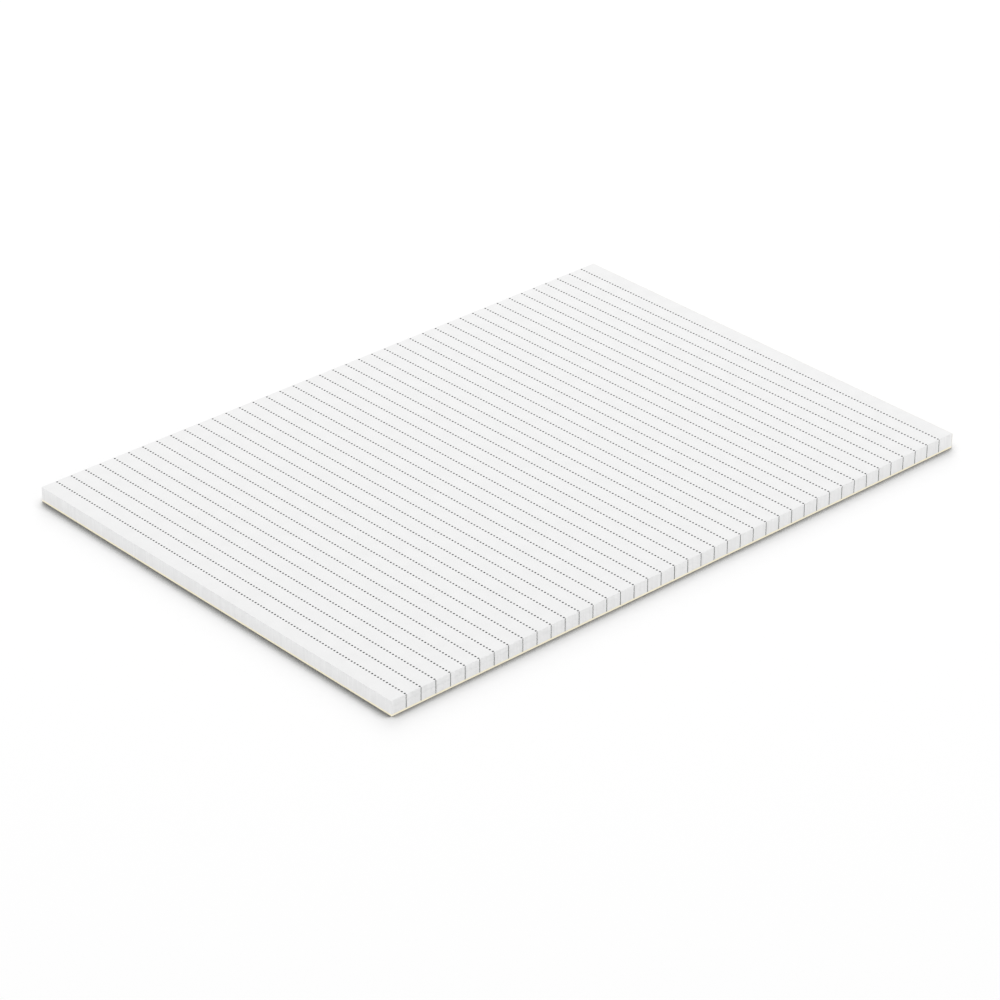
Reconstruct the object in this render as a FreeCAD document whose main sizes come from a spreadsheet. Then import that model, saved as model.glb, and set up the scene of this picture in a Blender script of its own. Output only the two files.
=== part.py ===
import FreeCAD, Part
import math
import os

import Sketcher
from FreeCAD import Vector

# A glued writing pad that lies flat: a block of ruled sheets on a backing board, held along the head
# edge by a film of padding glue. X runs across the sheet, Y from the foot to the head and Z up.
# The origin is the middle of the footprint, at the height of the surface that the pad lies on.

doc = FreeCAD.newDocument("WritingPad")

# Driving dimensions in millimetres, apart from the number of sheets
dimensions = [
    ("sheetWidth", 210.0, "across the sheet, along its ruled lines"),
    ("sheetLength", 297.0, "from the foot of the sheet to its head"),
    ("sheetCount", 50, "sheets in the block"),
    ("sheetCaliper", 0.114, "one sheet with the air above it"),
    ("boardCaliper", 0.8, "thickness of the backing board"),
    ("glueThickness", 0.3, "padding glue that stands on the head edge"),
    ("glueEdgeRadius", 0.2, "rounding of the film beside the top sheet and under the board"),
]

sizes = doc.addObject("Spreadsheet::Sheet", "Sizes")
for row, (alias, value, meaning) in enumerate(dimensions, start=1):
    sizes.set(f"A{row}", meaning)
    sizes.set(f"B{row}", str(value))
    sizes.setAlias(f"B{row}", alias)
doc.recompute()

# The board and the block are trimmed in one cut, so their edges stand flush above each other.
# The film adds its thickness at the head, and the footprint is centred with the film on it.
blockHeight = "Sizes.sheetCount * Sizes.sheetCaliper"
padHeight = f"Sizes.boardCaliper + {blockHeight}"
footEdge = "-(Sizes.sheetLength + Sizes.glueThickness) / 2"
headEdge = "(Sizes.sheetLength - Sizes.glueThickness) / 2"


def addBody(node):
    body = doc.addObject("PartDesign::Body", node)
    body.Label = node
    return body


def addSketch(body, name, planeRole):
    sketch = body.newObject("Sketcher::SketchObject", name)
    plane = next(feature for feature in body.Origin.OriginFeatures if feature.Role == planeRole)
    sketch.AttachmentSupport = (plane, [""])
    sketch.MapMode = "FlatFace"
    return sketch


def addPad(body, sketch, name, length, midplane=False):
    pad = body.newObject("PartDesign::Pad", name)
    pad.Profile = sketch
    pad.Midplane = midplane
    pad.setExpression("Length", length)
    return pad


def driveSize(sketch, name, constraint, expression):
    sketch.addConstraint(constraint)
    sketch.renameConstraint(sketch.ConstraintCount - 1, name)
    sketch.setExpression(f"Constraints.{name}", expression)


def joinEnds(sketch, kind, first, second):
    sketch.addConstraint(Sketcher.Constraint(kind, first, 2, second, 1))


# The trimmed outline: its foot edge lies on the sketch's X axis, centred on the origin
def drawSheetOutline(sketch):
    halfWidth = sizes.sheetWidth / 2
    corners = [
        Vector(-halfWidth, 0, 0),
        Vector(halfWidth, 0, 0),
        Vector(halfWidth, sizes.sheetLength, 0),
        Vector(-halfWidth, sizes.sheetLength, 0),
    ]
    ends = corners[1:] + corners[:1]
    foot, right, head, left = (
        sketch.addGeometry(Part.LineSegment(start, end), False) for start, end in zip(corners, ends)
    )
    for first, second in ((foot, right), (right, head), (head, left), (left, foot)):
        joinEnds(sketch, "Coincident", first, second)
    for edge in (foot, head):
        sketch.addConstraint(Sketcher.Constraint("Horizontal", edge))
    for edge in (right, left):
        sketch.addConstraint(Sketcher.Constraint("Vertical", edge))
    sketch.addConstraint(Sketcher.Constraint("Symmetric", foot, 1, foot, 2, -1, 1))
    across = Sketcher.Constraint("DistanceX", foot, 1, foot, 2, sizes.sheetWidth)
    driveSize(sketch, "width", across, "Sizes.sheetWidth")
    along = Sketcher.Constraint("DistanceY", right, 1, right, 2, sizes.sheetLength)
    driveSize(sketch, "length", along, "Sizes.sheetLength")


# The film's section across the head edge: flat against the paper, and rounded where the brush
# leaves it at the top sheet and under the board
def drawGlueSection(sketch):
    height = sizes.boardCaliper + sizes.sheetCount * sizes.sheetCaliper
    thickness = sizes.glueThickness
    radius = sizes.glueEdgeRadius
    quarterTurn = math.pi / 2

    def addLine(start, end):
        return sketch.addGeometry(Part.LineSegment(Vector(*start, 0), Vector(*end, 0)), False)

    def addArc(centre, start, end):
        circle = Part.Circle(Vector(*centre, 0), Vector(0, 0, 1), radius)
        return sketch.addGeometry(Part.ArcOfCircle(circle, start, end), False)

    under = addLine((0, 0), (thickness - radius, 0))
    lowerArc = addArc((thickness - radius, radius), -quarterTurn, 0)
    outside = addLine((thickness, radius), (thickness, height - radius))
    upperArc = addArc((thickness - radius, height - radius), 0, quarterTurn)
    over = addLine((thickness - radius, height), (0, height))
    inside = addLine((0, height), (0, 0))
    for first, second in ((under, lowerArc), (lowerArc, outside), (outside, upperArc), (upperArc, over)):
        joinEnds(sketch, "Tangent", first, second)
    for first, second in ((over, inside), (inside, under)):
        joinEnds(sketch, "Coincident", first, second)
    for edge in (under, over):
        sketch.addConstraint(Sketcher.Constraint("Horizontal", edge))
    for edge in (outside, inside):
        sketch.addConstraint(Sketcher.Constraint("Vertical", edge))
    sketch.addConstraint(Sketcher.Constraint("Coincident", under, 1, -1, 1))
    sketch.addConstraint(Sketcher.Constraint("Equal", lowerArc, upperArc))
    driveSize(sketch, "height", Sketcher.Constraint("DistanceY", inside, 2, inside, 1, height), padHeight)
    stand = Sketcher.Constraint("DistanceX", under, 1, outside, 1, thickness)
    driveSize(sketch, "thickness", stand, "Sizes.glueThickness")
    rounding = Sketcher.Constraint("Radius", lowerArc, radius)
    driveSize(sketch, "edgeRadius", rounding, "Sizes.glueEdgeRadius")


# Backing board
board = addBody("backing_board")
boardOutline = addSketch(board, "BoardOutline", "XY_Plane")
drawSheetOutline(boardOutline)
addPad(board, boardOutline, "BoardPad", "Sizes.boardCaliper")
board.setExpression(".Placement.Base.y", footEdge)

# Block of sheets, on the board
block = addBody("sheet_block")
sheetOutline = addSketch(block, "SheetOutline", "XY_Plane")
drawSheetOutline(sheetOutline)
addPad(block, sheetOutline, "SheetPad", blockHeight)
block.setExpression(".Placement.Base.y", footEdge)
block.setExpression(".Placement.Base.z", "Sizes.boardCaliper")

# Padding glue over the head edges of the block and the board
glue = addBody("glue_binding")
glueSection = addSketch(glue, "GlueSection", "YZ_Plane")
drawGlueSection(glueSection)
addPad(glue, glueSection, "GluePad", "Sizes.sheetWidth", midplane=True)
glue.setExpression(".Placement.Base.y", headEdge)

doc.recompute()

bodies = [board, block, glue]
for item in doc.Objects:
    if "Invalid" in item.State or "Error" in item.State:
        raise RuntimeError(f"{item.Label} did not recompute: {item.State}")
for body in bodies:
    if body.Shape.isNull() or not body.Shape.isValid():
        raise RuntimeError(f"{body.Label} has no valid shape")

os.makedirs("parts", exist_ok=True)
for body in bodies:
    body.Shape.exportStep(f"parts/{body.Label}.step")
    box = body.Shape.BoundBox
    print(f"{body.Label}: {body.Shape.Volume:.1f} mm3, {len(body.Shape.Solids)} solid,",
          f"x {box.XMin:.3f} {box.XMax:.3f}, y {box.YMin:.3f} {box.YMax:.3f}, z {box.ZMin:.3f} {box.ZMax:.3f}")
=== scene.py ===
import bpy
import math
import random
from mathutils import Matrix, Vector, noise


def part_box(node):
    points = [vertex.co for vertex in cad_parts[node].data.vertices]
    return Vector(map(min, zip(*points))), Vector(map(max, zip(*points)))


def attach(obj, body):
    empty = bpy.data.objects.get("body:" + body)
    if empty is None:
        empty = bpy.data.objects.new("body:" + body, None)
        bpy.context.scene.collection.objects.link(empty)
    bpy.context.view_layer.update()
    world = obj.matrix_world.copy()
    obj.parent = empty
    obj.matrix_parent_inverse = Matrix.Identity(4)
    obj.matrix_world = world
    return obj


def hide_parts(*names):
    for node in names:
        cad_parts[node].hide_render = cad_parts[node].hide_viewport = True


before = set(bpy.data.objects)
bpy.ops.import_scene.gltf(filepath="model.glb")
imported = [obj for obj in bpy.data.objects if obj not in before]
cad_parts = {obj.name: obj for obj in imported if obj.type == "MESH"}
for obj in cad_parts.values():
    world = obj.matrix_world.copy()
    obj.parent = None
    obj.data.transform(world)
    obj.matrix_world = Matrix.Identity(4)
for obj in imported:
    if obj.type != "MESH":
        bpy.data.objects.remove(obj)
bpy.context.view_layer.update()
mm = 0.001

blockLow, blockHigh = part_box("sheet_block")
boardLow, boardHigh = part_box("backing_board")
glueLow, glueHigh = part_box("glue_binding")


def toLinear(hexColour):
    channels = [int(hexColour[place:place + 2], 16) / 255 for place in (1, 3, 5)]
    linear = [c / 12.92 if c <= 0.04045 else ((c + 0.055) / 1.055) ** 2.4 for c in channels]
    return (*linear, 1.0)


def addNode(tree, kind, inputs=None, **settings):
    # a socket given as a value is linked, anything else is set on the input;
    # a colour Mix takes its two colours at inputs 6 and 7 and gives the result at output 2
    node = tree.nodes.new(kind)
    for name, value in settings.items():
        setattr(node, name, value)
    for name, value in (inputs or {}).items():
        if isinstance(value, bpy.types.NodeSocket):
            tree.links.new(value, node.inputs[name])
        else:
            node.inputs[name].default_value = value
    return node


def startMaterial(name):
    material = bpy.data.materials.new(name)
    material.use_nodes = True
    tree = material.node_tree
    tree.nodes.clear()
    place = addNode(tree, "ShaderNodeTexCoord").outputs["Object"]
    return material, tree, place


def finishMaterial(tree, shader):
    addNode(tree, "ShaderNodeOutputMaterial", {"Surface": shader.outputs[0]})


def meshPiece(name, points, faces, materials, faceSlots=None):
    mesh = bpy.data.meshes.new(name)
    mesh.from_pydata(points, [], faces)
    for material in materials:
        mesh.materials.append(material)
    if faceSlots:
        mesh.polygons.foreach_set("material_index", faceSlots)
    mesh.update()
    piece = bpy.data.objects.new(name, mesh)
    bpy.context.collection.objects.link(piece)
    return piece


# Camera: the photograph's corner view. Its four sheet corners give the bearing, height and lens.
cameraSet = {
    "bearing": 47.85,        # degrees, from looking along +Y round to looking along -X
    "height": 29.54,         # degrees above the horizon
    "distance": 1488 * mm,
    "aim": (14.7 * mm, -14.8 * mm, 0.0),
    "sensor": 36.0,
    "focalPixels": 3790,     # focal length, in pixels of the photograph
    "photoSide": 1000,
    "clip": (0.05, 50),
}


# The direction from the pad towards a bearing and height
def viewSide(bearing, height):
    turn, rise = math.radians(bearing), math.radians(height)
    return Vector((math.sin(turn) * math.cos(rise), -math.cos(turn) * math.cos(rise), math.sin(rise)))


def makeCamera(c):
    back = viewSide(c["bearing"], c["height"])
    data = bpy.data.cameras.new("photoCamera")
    data.sensor_width = c["sensor"]
    data.lens = c["sensor"] * c["focalPixels"] / c["photoSide"]
    data.clip_start, data.clip_end = c["clip"]
    camera = bpy.data.objects.new("photoCamera", data)
    camera.location = Vector(c["aim"]) + back * c["distance"]
    camera.rotation_mode = "QUATERNION"
    camera.rotation_quaternion = (-back).to_track_quat("-Z", "Y")
    bpy.context.collection.objects.link(camera)
    bpy.context.scene.camera = camera


makeCamera(cameraSet)
print("camera placed")


# Studio: a white sweep under a white surround, with one wide soft lamp low behind the pad
studio = {
    "surround": 0.86,
    "surroundTilt": 0.12,        # the surround is this much brighter on the camera's side, darker behind
    "lampPower": 43.0,
    "lampSize": 2.4,
    "lampDistance": 4.0,
    "lampHeight": 33,            # degrees above the horizon, straight behind the pad as the camera sees it
    "floorColour": "#FFFFFF",
    "floorSize": 12.0,
    "floorLift": 0.02,           # brings the open floor up to white where it is seen
    "floorGap": 0.02 * mm,
    "clearReach": 0.06 * mm,     # light this close under the pad passes the floor
    # painted shadow on the floor: grey tones set by how hemmed in each place is, not cast by the lamp
    "paintedShadowReach": 6 * mm,      # how far the painted shadow on the floor spreads on the side away from the lamp
    "paintedShadowBearing": 34,        # that side, so most of the painted shadow is along the foot edge
    "paintedShadowHeight": 30,
    "paintedShadowSamples": 8,
    "paintedShadowTones": [(0.44, "#6C6C6C"), (0.54, "#DADADA"), (0.64, "#F6F6F6"), (1.0, "#FFFFFF")],
    "paintedRimShadowReach": 5 * mm,         # how far the fainter painted shadow spreads that runs all round the pad
    "paintedRimShadowSamples": 4,
    "paintedRimShadowTones": [(0.50, "#B4B4B4"), (0.62, "#E4E4E4"), (0.80, "#FAFAFA"), (1.0, "#FFFFFF")],
}


# 1 for the camera's own rays, and for those that gloss mirrors or a clear film lets through to it
def shownWhite(tree):
    ray = addNode(tree, "ShaderNodeLightPath")
    seen = addNode(tree, "ShaderNodeMath", {
        0: ray.outputs["Is Camera Ray"], 1: ray.outputs["Is Glossy Ray"]}, operation="MAXIMUM")
    return addNode(tree, "ShaderNodeMath", {
        0: seen.outputs[0], 1: ray.outputs["Is Transmission Ray"]}, operation="MAXIMUM").outputs[0]


def makeSurround(s):
    world = bpy.data.worlds.new("whiteSurround")
    world.use_nodes = True
    bpy.context.scene.world = world
    tree = world.node_tree
    tree.nodes.clear()
    place = addNode(tree, "ShaderNodeTexCoord")
    facing = addNode(tree, "ShaderNodeVectorMath", {
        0: place.outputs["Generated"], 1: tuple(viewSide(cameraSet["bearing"], 0))},
        operation="DOT_PRODUCT")
    strength = addNode(tree, "ShaderNodeMath", {
        0: facing.outputs["Value"], 1: s["surroundTilt"], 2: s["surround"]}, operation="MULTIPLY_ADD")
    light = addNode(tree, "ShaderNodeBackground", {"Strength": strength.outputs[0]})
    backdrop = addNode(tree, "ShaderNodeBackground", {"Strength": 1.0})
    for background in (light, backdrop):
        background.inputs["Color"].default_value = (1, 1, 1, 1)
    both = addNode(tree, "ShaderNodeMixShader", {
        0: shownWhite(tree), 1: light.outputs[0], 2: backdrop.outputs[0]})
    addNode(tree, "ShaderNodeOutputWorld", {"Surface": both.outputs[0]})


def makeSoftbox(s):
    lamp = bpy.data.lights.new("softbox", "AREA")
    lamp.shape = "SQUARE"
    lamp.size = s["lampSize"]
    lamp.energy = s["lampPower"]
    softbox = bpy.data.objects.new("softbox", lamp)
    behind = viewSide(cameraSet["bearing"] + 180, s["lampHeight"])
    softbox.location = behind * s["lampDistance"]
    softbox.rotation_mode = "QUATERNION"
    softbox.rotation_quaternion = (-behind).to_track_quat("-Z", "Y")
    bpy.context.collection.objects.link(softbox)


# Painted shadow tones for how open a place on the floor is, from the most hemmed in to the open floor
def paintedShadowRamp(tree, openness, tones):
    node = addNode(tree, "ShaderNodeValToRGB", {"Fac": openness.outputs["AO"]})
    ramp = node.color_ramp
    while len(ramp.elements) < len(tones):
        ramp.elements.new(0.5)      # anywhere, because each one gets its place below
    for element, (at, tone) in zip(ramp.elements, tones):
        element.position = at
        element.color = toLinear(tone)
    return node.outputs["Color"]


def makeFloor(s):
    # the eye sees the sweep lifted to white, with two painted shadows where the pad touches it
    material, tree, _ = startMaterial("whiteSweep")
    bounce = addNode(tree, "ShaderNodeBsdfDiffuse", {"Color": toLinear(s["floorColour"])})
    towardsLamp = viewSide(s["paintedShadowBearing"] + 180, s["paintedShadowHeight"])
    lean = addNode(tree, "ShaderNodeCombineXYZ", dict(zip("XYZ", towardsLamp)))
    # painted shadow: how hemmed in the floor is, looking towards the lamp and then all round, darkens its
    # colour
    paintedShadow = addNode(tree, "ShaderNodeAmbientOcclusion", {
        "Distance": s["paintedShadowReach"], "Normal": lean.outputs[0]}, samples=s["paintedShadowSamples"])
    paintedRimShadow = addNode(tree, "ShaderNodeAmbientOcclusion", {
        "Distance": s["paintedRimShadowReach"]}, samples=s["paintedRimShadowSamples"])
    shaded = addNode(tree, "ShaderNodeMix", {
        0: 1.0, 6: paintedShadowRamp(tree, paintedShadow, s["paintedShadowTones"]), 7: paintedShadowRamp(tree, paintedRimShadow, s["paintedRimShadowTones"])},
        data_type="RGBA", blend_type="MULTIPLY").outputs[2]
    lit = addNode(tree, "ShaderNodeBsdfDiffuse", {"Color": shaded})
    lift = addNode(tree, "ShaderNodeEmission", {"Color": shaded, "Strength": s["floorLift"]})
    shown = addNode(tree, "ShaderNodeAddShader", {0: lit.outputs[0], 1: lift.outputs[0]})
    top = addNode(tree, "ShaderNodeMixShader", {
        0: shownWhite(tree), 1: bounce.outputs[0], 2: shown.outputs[0]})
    # clear from below, and to the light that reaches the board's underside, so that side can be viewed
    side = addNode(tree, "ShaderNodeNewGeometry")
    ray = addNode(tree, "ShaderNodeLightPath")
    close = addNode(tree, "ShaderNodeMath", {
        0: ray.outputs["Ray Length"], 1: s["clearReach"]}, operation="LESS_THAN")
    clear = addNode(tree, "ShaderNodeMath", {
        0: side.outputs["Backfacing"], 1: close.outputs[0]}, operation="MAXIMUM")
    glass = addNode(tree, "ShaderNodeBsdfTransparent")
    finishMaterial(tree, addNode(tree, "ShaderNodeMixShader", {
        0: clear.outputs[0], 1: top.outputs[0], 2: glass.outputs[0]}))
    half = s["floorSize"] / 2
    corners = [(-half, -half, 0), (half, -half, 0), (half, half, 0), (-half, half, 0)]
    floor = meshPiece("studioFloor", corners, [(0, 1, 2, 3)], [material])
    floor.location.z = -s["floorGap"]


makeSurround(studio)
makeSoftbox(studio)
makeFloor(studio)
print("studio lit")


# Uncoated wood-free offset paper, machine finished: a matt, even white with a faint fibre tooth
def uncoatedPaper():
    material, tree, place = startMaterial("uncoatedOffsetPaper")
    # the pulp settles in clouds about 7 mm wide, and its grain is drawn at 0.5 mm, coarser than it is
    cloud = addNode(tree, "ShaderNodeTexNoise", {"Vector": place, "Scale": 1 / (7 * mm), "Detail": 2.0})
    grain = addNode(tree, "ShaderNodeTexNoise", {"Vector": place, "Scale": 1 / (0.5 * mm), "Detail": 3.0})
    blend = addNode(tree, "ShaderNodeMath", {
        0: cloud.outputs["Fac"], 1: grain.outputs["Fac"]}, operation="ADD")
    spread = addNode(tree, "ShaderNodeMapRange", {
        "Value": blend.outputs[0], "From Min": 0.75, "From Max": 1.25})
    tone = addNode(tree, "ShaderNodeMix", {
        0: spread.outputs[0], 6: toLinear("#F1F1F1"), 7: toLinear("#F5F5F5")}, data_type="RGBA")
    # fibres lie two ways across each other, 1.5 mm long and 0.12 mm apart, coarser than real ones
    fibres = []
    for turn in (0.4, 1.9):
        laid = addNode(tree, "ShaderNodeMapping", {
            "Vector": place, "Rotation": (0, 0, turn), "Scale": (1.5 * mm, 0.12 * mm, 0.12 * mm)},
            vector_type="TEXTURE")
        fibres.append(addNode(tree, "ShaderNodeTexNoise", {
            "Vector": laid.outputs[0], "Scale": 1.0, "Detail": 2.0, "Distortion": 0.6}))
    tooth = addNode(tree, "ShaderNodeMath", {
        0: fibres[0].outputs["Fac"], 1: fibres[1].outputs["Fac"]}, operation="ADD")
    bump = addNode(tree, "ShaderNodeBump", {
        "Height": tooth.outputs[0], "Strength": 0.25, "Distance": 0.02 * mm})
    finishMaterial(tree, addNode(tree, "ShaderNodeBsdfPrincipled", {
        "Base Color": tone.outputs[2], "Normal": bump.outputs[0],
        "Roughness": 0.9, "IOR": 1.5, "Specular IOR Level": 0.25}))
    return material


# The same paper where the guillotine went through it, with upright knife marks, and a tone lighter than the
# faces' that is partly painted light on the shaded sides.
# The marks are drawn 0.25 mm and 1.2 mm wide, coarser than they are, so that they show.
def guillotinedPaper():
    material, tree, place = startMaterial("guillotinedPaperEdge")
    drawn = addNode(tree, "ShaderNodeMapping", {
        "Vector": place, "Scale": (0.25 * mm, 0.25 * mm, 6 * mm)}, vector_type="TEXTURE")
    knife = addNode(tree, "ShaderNodeTexNoise", {"Vector": drawn.outputs[0], "Scale": 1.0, "Detail": 3.0})
    nicks = addNode(tree, "ShaderNodeMapping", {
        "Vector": place, "Scale": (1.2 * mm, 1.2 * mm, 25 * mm)}, vector_type="TEXTURE")
    dragged = addNode(tree, "ShaderNodeTexNoise", {"Vector": nicks.outputs[0], "Scale": 1.0, "Detail": 2.0})
    blend = addNode(tree, "ShaderNodeMath", {
        0: knife.outputs["Fac"], 1: dragged.outputs["Fac"]}, operation="ADD")
    spread = addNode(tree, "ShaderNodeMapRange", {
        "Value": blend.outputs[0], "From Min": 0.7, "From Max": 1.3})
    # lighter than the faces' tone: partly painted light on the sides, which sit in shade
    tone = addNode(tree, "ShaderNodeMix", {
        0: spread.outputs[0], 6: toLinear("#F1F1F1"), 7: toLinear("#FAFAFA")}, data_type="RGBA")
    bump = addNode(tree, "ShaderNodeBump", {
        "Height": blend.outputs[0], "Strength": 0.3, "Distance": 0.01 * mm})
    finishMaterial(tree, addNode(tree, "ShaderNodeBsdfPrincipled", {
        "Base Color": tone.outputs[2], "Normal": bump.outputs[0],
        "Roughness": 0.95, "IOR": 1.5, "Specular IOR Level": 0.15}))
    return material


# Black offset ink soaked into uncoated paper: dull, and a little uneven where the fibres took less
def offsetInk():
    material, tree, place = startMaterial("blackOffsetInk")
    take = addNode(tree, "ShaderNodeTexNoise", {"Vector": place, "Scale": 1 / (0.12 * mm), "Detail": 2.0})
    tone = addNode(tree, "ShaderNodeMix", {
        0: take.outputs["Fac"], 6: toLinear("#151516"), 7: toLinear("#303032")}, data_type="RGBA")
    finishMaterial(tree, addNode(tree, "ShaderNodeBsdfPrincipled", {
        "Base Color": tone.outputs[2], "Roughness": 0.8, "IOR": 1.5, "Specular IOR Level": 0.2}))
    return material


# Cream manila card, pressed between rolls: smooth and warm, with stray fibres, dark and pale, in it.
# They are drawn 2.5 mm long and 0.3 mm wide, coarser than they are, so that they show.
def manilaCard():
    material, tree, place = startMaterial("creamManilaCard")
    cloud = addNode(tree, "ShaderNodeTexNoise", {"Vector": place, "Scale": 1 / (9 * mm), "Detail": 3.0})
    tone = addNode(tree, "ShaderNodeMix", {
        0: cloud.outputs["Fac"], 6: toLinear("#F5E6BF"), 7: toLinear("#FAEECF")}, data_type="RGBA")
    base = tone.outputs[2]
    for turn, colour in ((0.7, "#CDB98A"), (2.2, "#FFFAE6"), (1.3, "#B9A477")):
        laid = addNode(tree, "ShaderNodeMapping", {
            "Vector": place, "Rotation": (0, 0, turn), "Scale": (2.5 * mm, 0.3 * mm, 0.3 * mm)},
            vector_type="TEXTURE")
        stray = addNode(tree, "ShaderNodeTexNoise", {
            "Vector": laid.outputs[0], "Scale": 1.0, "Detail": 1.0, "Distortion": 1.2})
        share = addNode(tree, "ShaderNodeMapRange", {
            "Value": stray.outputs["Fac"], "From Min": 0.68, "From Max": 0.74, "To Max": 0.6})
        base = addNode(tree, "ShaderNodeMix", {
            0: share.outputs[0], 6: base, 7: toLinear(colour)}, data_type="RGBA").outputs[2]
    press = addNode(tree, "ShaderNodeTexNoise", {"Vector": place, "Scale": 1 / (0.4 * mm), "Detail": 3.0})
    bump = addNode(tree, "ShaderNodeBump", {
        "Height": press.outputs["Fac"], "Strength": 0.25, "Distance": 0.03 * mm})
    finishMaterial(tree, addNode(tree, "ShaderNodeBsdfPrincipled", {
        "Base Color": base, "Normal": bump.outputs[0],
        "Roughness": 0.72, "IOR": 1.5, "Specular IOR Level": 0.35}))
    return material


# The card's cut edge: pulp in thin plies that run level with the board, paler than the faces, partly as
# painted light on an edge that sits in shade low by the floor
def guillotinedCard():
    material, tree, place = startMaterial("guillotinedCardEdge")
    plies = addNode(tree, "ShaderNodeMapping", {
        "Vector": place, "Scale": (4 * mm, 4 * mm, 0.12 * mm)}, vector_type="TEXTURE")
    pulp = addNode(tree, "ShaderNodeTexNoise", {"Vector": plies.outputs[0], "Scale": 1.0, "Detail": 3.0})
    # paler than the card's faces: partly painted light on the shaded edge
    tone = addNode(tree, "ShaderNodeMix", {
        0: pulp.outputs["Fac"], 6: toLinear("#FFF3D2"), 7: toLinear("#FFFCEE")}, data_type="RGBA")
    bump = addNode(tree, "ShaderNodeBump", {
        "Height": pulp.outputs["Fac"], "Strength": 0.4, "Distance": 0.02 * mm})
    finishMaterial(tree, addNode(tree, "ShaderNodeBsdfPrincipled", {
        "Base Color": tone.outputs[2], "Normal": bump.outputs[0],
        "Roughness": 0.95, "IOR": 1.5, "Specular IOR Level": 0.15}))
    return material


# Padding compound, a brushed-on PVA: dries to a milky, rubbery film with a low gloss
def paddingCompound():
    material, tree, place = startMaterial("paddingCompound")
    pulled = addNode(tree, "ShaderNodeMapping", {
        "Vector": place, "Scale": (14 * mm, 0.35 * mm, 0.35 * mm)}, vector_type="TEXTURE")
    brush = addNode(tree, "ShaderNodeTexNoise", {"Vector": pulled.outputs[0], "Scale": 1.0, "Detail": 3.0})
    tone = addNode(tree, "ShaderNodeMix", {
        0: brush.outputs["Fac"], 6: toLinear("#E6E4DB"), 7: toLinear("#F2F1EC")}, data_type="RGBA")
    bump = addNode(tree, "ShaderNodeBump", {
        "Height": brush.outputs["Fac"], "Strength": 0.3, "Distance": 0.03 * mm})
    finishMaterial(tree, addNode(tree, "ShaderNodeBsdfPrincipled", {
        "Base Color": tone.outputs[2], "Normal": bump.outputs[0],
        "Roughness": 0.42, "IOR": 1.47, "Coat Weight": 0.2, "Coat Roughness": 0.3}))
    return material


paper, paperEdge, ink = uncoatedPaper(), guillotinedPaper(), offsetInk()
card, cardEdge, glue = manilaCard(), guillotinedCard(), paddingCompound()
print("materials mixed")


# Points round a trimmed rectangle, each with the directions that lead out of it there
def trimmedOutline(low, high, step):
    across = round((high.x - low.x) / step)
    along = round((high.y - low.y) / step)
    wide, deep = high.x - low.x, high.y - low.y
    foot = [(low.x + wide * k / across, low.y, -(k == 0), -1) for k in range(across)]
    right = [(high.x, low.y + deep * k / along, 1, -(k == 0)) for k in range(along)]
    head = [(high.x - wide * k / across, high.y, int(k == 0), 1) for k in range(across)]
    left = [(low.x, high.y - deep * k / along, -1, int(k == 0)) for k in range(along)]
    return foot + right + head + left


# One sheet or board: a closed slab whose arrises are broken by a small bevel.
# Its two faces get slot 0 and its cut edges slot 1.
def addSlab(points, faces, slots, outline, bottom, top, rounding, wander, shift):
    rings = [(bottom, rounding), (bottom + rounding, 0), (top - rounding, 0), (top, rounding)]
    first = len(points)
    count = len(outline)
    for z, inset in rings:
        for x, y, outX, outY in outline:
            out = wander(x, y) - inset
            moveX, moveY = shift(y)
            points.append((x + outX * out + moveX, y + outY * out + moveY, z))
    for ring in range(len(rings) - 1):
        for k in range(count):
            a, b = first + ring * count + k, first + ring * count + (k + 1) % count
            faces.append((a, b, b + count, a + count))
            slots.append(1)
    lid = first + (len(rings) - 1) * count
    faces.append(tuple(first + k for k in reversed(range(count))))
    faces.append(tuple(lid + k for k in range(count)))
    slots += [0, 0]


sheets = {
    "pitch": 0.114 * mm,       # one sheet with the air above it
    "air": 0.008 * mm,
    "edgeStep": 9 * mm,
    "rounding": 0.02 * mm,     # each guillotined edge is slightly rolled
    "wander": 0.006 * mm,      # how far a cut strays from straight, over about 15 mm
    "wanderStep": 15 * mm,
    "wanderSlice": 3.7,        # steps through the noise from one sheet to the next, so no two match
    "fanAcross": 0.07 * mm,    # the furthest that the loose foot of a sheet sits from flush
    "fanAlong": 0.04 * mm,
    "sideRoom": 0.085 * mm,    # room inside the block's box for sheets that sit proud and for the ink
    "footRoom": 0.05 * mm,
    "topRoom": 0.008 * mm,
    "seed": 11,
}
stackLow = blockLow + Vector((sheets["sideRoom"], sheets["footRoom"], 0))
stackHigh = blockHigh - Vector((sheets["sideRoom"], 0, sheets["topRoom"]))


def makeSheets(s):
    draw = random.Random(s["seed"])
    count = round((stackHigh.z - stackLow.z) / s["pitch"])
    length = stackHigh.y - stackLow.y
    outline = trimmedOutline(stackLow, stackHigh, s["edgeStep"])
    points, faces, slots, placed = [], [], [], []
    for index in range(count):
        fanX = s["fanAcross"] * draw.triangular(-1, 1)
        fanY = s["fanAlong"] * draw.triangular(-1, 1)
        top = stackHigh.z - (count - 1 - index) * s["pitch"]
        bottom = top - s["pitch"] + s["air"]

        def shift(y, fanX=fanX, fanY=fanY):
            loose = (stackHigh.y - y) / length      # the glued head holds every sheet flush
            return fanX * loose, fanY * loose

        def wander(x, y, cut=index * s["wanderSlice"]):
            return s["wander"] * noise.noise((x / s["wanderStep"], y / s["wanderStep"], cut))

        addSlab(points, faces, slots, outline, bottom, top, s["rounding"], wander, shift)
        placed.append((bottom, top, shift))
    piece = meshPiece("ruled_sheets", points, faces, [paper, paperEdge], slots)
    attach(piece, "root")
    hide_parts("sheet_block")
    return placed


placedSheets = makeSheets(sheets)
print("sheets stacked:", len(placedSheets))


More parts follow.
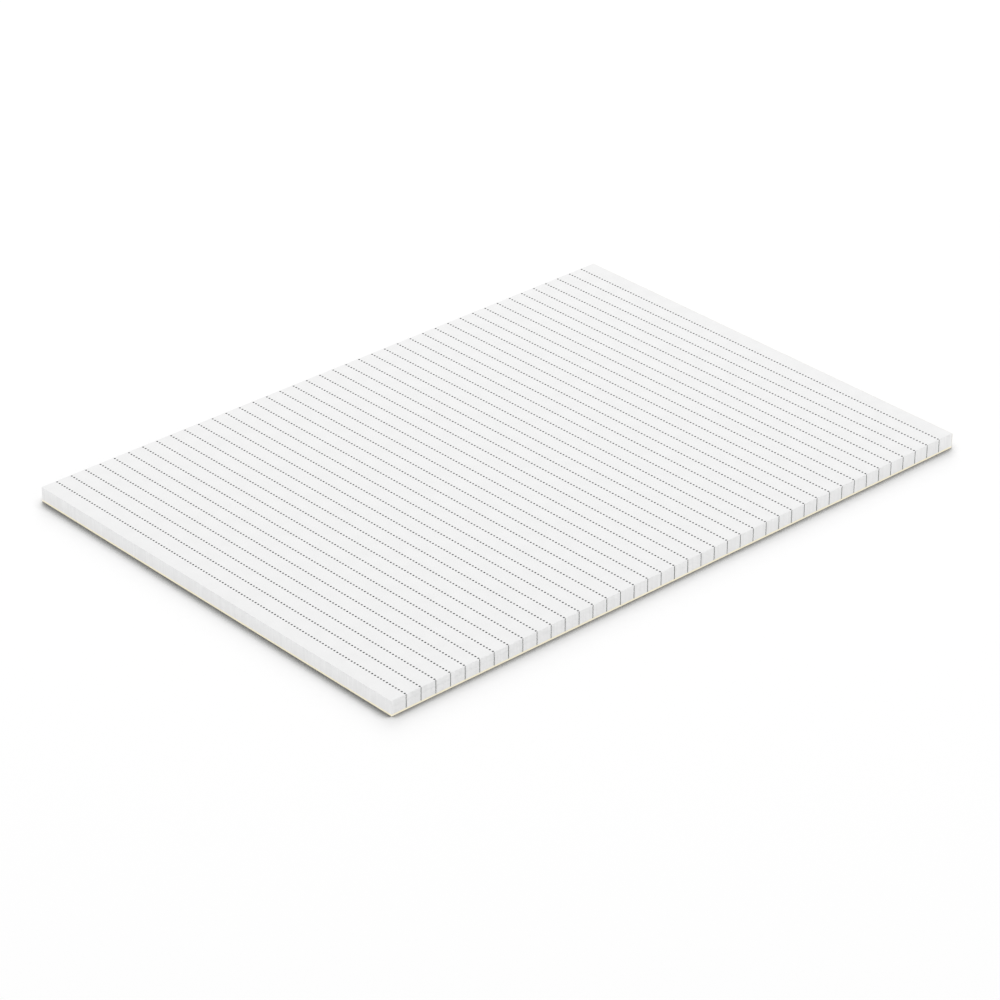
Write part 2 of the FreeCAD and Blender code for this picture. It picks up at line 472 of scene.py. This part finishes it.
cardBack = {
    "edgeStep": 6 * mm,
    "rounding": 0.08 * mm,     # the knife and handling soften the board's edges
    "wander": 0.02 * mm,       # each way from a line this far inside the trimmed size
    "wanderStep": 25 * mm,
    "wanderSlice": 0.5,
}


def makeCardBack(c):
    points, faces, slots = [], [], []
    outline = trimmedOutline(boardLow, boardHigh, c["edgeStep"])

    def wander(x, y):
        stray = noise.noise((x / c["wanderStep"], y / c["wanderStep"], c["wanderSlice"]))
        return c["wander"] * (stray - 1)

    addSlab(points, faces, slots, outline, boardLow.z, boardHigh.z, c["rounding"], wander, lambda y: (0, 0))
    piece = meshPiece("card_back", points, faces, [card, cardEdge], slots)
    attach(piece, "root")
    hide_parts("backing_board")


makeCardBack(cardBack)
print("board laid")


glueFilm = {
    "edgeRadius": 0.2 * mm,
    "step": 1.5 * mm,          # between stations along the film
    "rows": 26,                # points up its outer face
    "arcSteps": 5,
    "ridgeDepth": 0.05 * mm,   # brush marks, always inside the film's own thickness
    "ridgeSpacing": 0.55 * mm,
    "ridgeRun": 12 * mm,       # how far a brush mark keeps its line
    "ridgeSlice": 2.0,
}


def makeGlueFilm(g):
    thick = glueHigh.y - glueLow.y
    tall = glueHigh.z - glueLow.z
    radius = g["edgeRadius"]
    quarter = [math.pi / 2 * k / g["arcSteps"] for k in range(1, g["arcSteps"])]
    lower = [(thick - radius + radius * math.sin(a), radius - radius * math.cos(a)) for a in quarter]
    face = [(thick, radius + (tall - 2 * radius) * k / (g["rows"] - 1)) for k in range(g["rows"])]
    upper = [(out, tall - z) for out, z in reversed(lower)]
    section = [(0, 0), (thick - radius, 0), *lower, *face, *upper, (thick - radius, tall), (0, tall)]
    stations = round((glueHigh.x - glueLow.x) / g["step"]) + 1
    points, faces = [], []
    for station in range(stations):
        x = glueLow.x + (glueHigh.x - glueLow.x) * station / (stations - 1)
        for out, z in section:
            stray = noise.noise((x / g["ridgeRun"], z / g["ridgeSpacing"], g["ridgeSlice"]))
            mark = 0.5 + 0.5 * stray
            dip = g["ridgeDepth"] * mark * out / thick
            points.append((x, glueLow.y + out - dip, glueLow.z + z))
    count = len(section)
    for station in range(stations - 1):
        for k in range(count):
            a, b = station * count + k, station * count + (k + 1) % count
            faces.append((a, b, b + count, a + count))
    faces.append(tuple(reversed(range(count))))
    faces.append(tuple((stations - 1) * count + k for k in range(count)))
    piece = meshPiece("glue_film", points, faces, [glue])
    for polygon in piece.data.polygons:
        polygon.use_smooth = len(polygon.vertices) == 4
    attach(piece, "root")
    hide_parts("glue_binding")


makeGlueFilm(glueFilm)
print("glue brushed on")


ruling = {
    "lines": 41,
    "linePitch": 7.06 * mm,
    "footMargin": 6.98 * mm,   # from the foot edge to the first line
    "dots": 129,
    "dotPitch": 1.627 * mm,
    "dotMargin": 0.93 * mm,    # from the left edge to the first dot
    "dotSize": 0.82 * mm,
    "dotSides": 10,
    "inkProud": 0.008 * mm,    # ink stands this far out of the paper, and the rest is soaked in
    "inkSunk": 0.02 * mm,
    "tickWidth": 0.33 * mm,
    "tickGap": 0.01 * mm,      # bare paper at each sheet's arrises
    "registration": 0.03 * mm,  # about how far one sheet's print slips from the next
    "seed": 5,
}


def lineHeights(r):
    return [blockLow.y + r["footMargin"] + line * r["linePitch"] for line in range(r["lines"])]


def makeRuling(r):
    points, faces = [], []
    top = stackHigh.z + r["inkProud"]
    bottom = stackHigh.z - r["inkSunk"]
    n = r["dotSides"]
    turns = [2 * math.pi * (k + 0.5) / n for k in range(n)]
    ring = [(r["dotSize"] / 2 * math.cos(turn), r["dotSize"] / 2 * math.sin(turn)) for turn in turns]
    for y in lineHeights(r):
        for dot in range(r["dots"]):
            x = blockLow.x + r["dotMargin"] + dot * r["dotPitch"]
            first = len(points)
            for z in (bottom, top):
                points += [(x + dx, y + dy, z) for dx, dy in ring]
            for k in range(n):
                near, far = first + k, first + (k + 1) % n
                faces.append((near, far, far + n, near + n))
            faces.append(tuple(first + k for k in reversed(range(n))))
            faces.append(tuple(first + n + k for k in range(n)))
    piece = meshPiece("ruled_dots", points, faces, [ink])
    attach(piece, "root")


# A ruled line runs off both long edges, so every sheet of the block shows its end as a fine tick
def makeEdgeTicks(r, placed):
    draw = random.Random(r["seed"])
    points, faces = [], []
    box = [(0, 3, 2, 1), (4, 5, 6, 7), (0, 1, 5, 4), (1, 2, 6, 5), (2, 3, 7, 6), (3, 0, 4, 7)]
    for bottom, top, shift in placed:
        slip = draw.gauss(0, r["registration"])
        for y in lineHeights(r):
            moveX, moveY = shift(y)
            low, high = y + slip + moveY - r["tickWidth"] / 2, y + slip + moveY + r["tickWidth"] / 2
            for out, edge in ((-1, stackLow.x), (1, stackHigh.x)):
                ends = sorted((edge + moveX - out * r["inkSunk"], edge + moveX + out * r["inkProud"]))
                first = len(points)
                for z in (bottom + r["tickGap"], top - r["tickGap"]):
                    points += [(ends[0], low, z), (ends[1], low, z), (ends[1], high, z), (ends[0], high, z)]
                faces += [tuple(first + k for k in face) for face in box]
    piece = meshPiece("edge_ticks", points, faces, [ink])
    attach(piece, "root")


makeRuling(ruling)
makeEdgeTicks(ruling, placedSheets)
print("ruling printed")


bpy.context.scene.view_settings.view_transform = "Standard"
